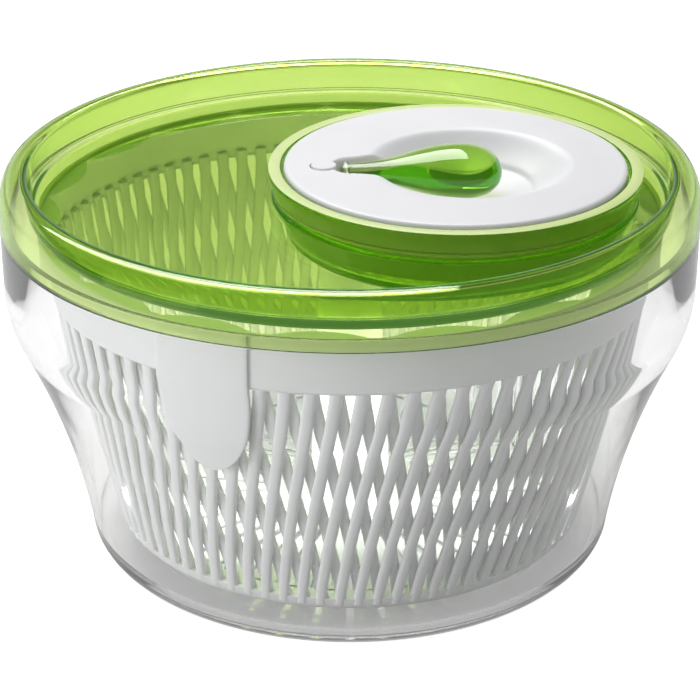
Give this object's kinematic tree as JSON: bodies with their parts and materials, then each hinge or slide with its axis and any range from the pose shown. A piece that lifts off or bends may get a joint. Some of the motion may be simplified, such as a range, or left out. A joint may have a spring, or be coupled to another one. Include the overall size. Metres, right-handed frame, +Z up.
{
  "type": "salad spinner",
  "caption": "Round salad spinner: clear flared bowl, slotted spinning basket, see-through lid with an off-centre crank wheel and a fold-away drop-shaped lever.",
  "frame": {"origin": "centre of the bowl's foot, on the table", "axes": "+Z up along the bowl's axis, +X from the middle towards the crank wheel, +Y away from the side the picture shows"},
  "size_m": [0.2792, 0.2792, 0.1664],
  "materials": {
    "clear_styrene": "clear, polished",
    "green_styrene": "see-through green, polished",
    "green_lever_styrene": "see-through green, polished",
    "white_polypropylene": "fine satin",
    "white_abs": "fine satin",
    "natural_acetal": "natural",
    "stainless_steel": "turned"
  },
  "bodies": {
    "bowl": {"bowl": "clear_styrene"},
    "pivot": {"pivot_bush": "natural_acetal"},
    "basket": {"basket": "white_polypropylene", "drive_column": "white_polypropylene"},
    "lid": {"lid": "green_styrene", "shaft_bush": "natural_acetal", "glide_ring": "natural_acetal"},
    "crank_wheel": {"crank_wheel": "white_abs", "ring_gear": "natural_acetal", "gear_screws": "stainless_steel", "axle_screw": "stainless_steel", "axle_washer": "stainless_steel", "hinge_pin": "stainless_steel", "hinge_plug": "white_abs"},
    "lever": {"crank_lever": "green_lever_styrene"},
    "drive": {"drive_pinion": "natural_acetal", "drive_shaft": "stainless_steel", "shaft_clip": "stainless_steel", "drive_dog": "natural_acetal", "dog_pin": "stainless_steel"}
  },
  "joints": [
    {"name": "lid_lift", "type": "slide", "parent": "bowl", "child": "lid", "axis": [0, 0, 1], "range_m": [0, 0.3]},
    {"name": "basket_lift", "type": "slide", "parent": "bowl", "child": "pivot", "axis": [0, 0, 1], "range_m": [0, 0.15]},
    {"name": "basket_spin", "type": "hinge", "parent": "pivot", "child": "basket", "pos_m": [0, 0, 0.02], "axis": [0, 0, 1], "continuous": true},
    {"name": "crank_spin", "type": "hinge", "parent": "lid", "child": "crank_wheel", "pos_m": [0.042, 0, 0.14], "axis": [0, 0, 1], "continuous": true},
    {"name": "driver_spin", "type": "hinge", "parent": "lid", "child": "drive", "pos_m": [0, 0, 0.125], "axis": [0, 0, 1], "continuous": true},
    {"name": "lever_fold", "type": "hinge", "parent": "crank_wheel", "child": "lever", "pos_m": [-0.00133, -0.00379, 0.1574], "axis": [0.0872, -0.9962, 0], "range_deg": [0, 90]}
  ],
  "couplings": [
    {"joint": "basket_lift", "follows": "lid_lift", "ratio": 0.5},
    {"joint": "basket_spin", "follows": "crank_spin", "ratio": 4},
    {"joint": "driver_spin", "follows": "crank_spin", "ratio": 4}
  ]
}
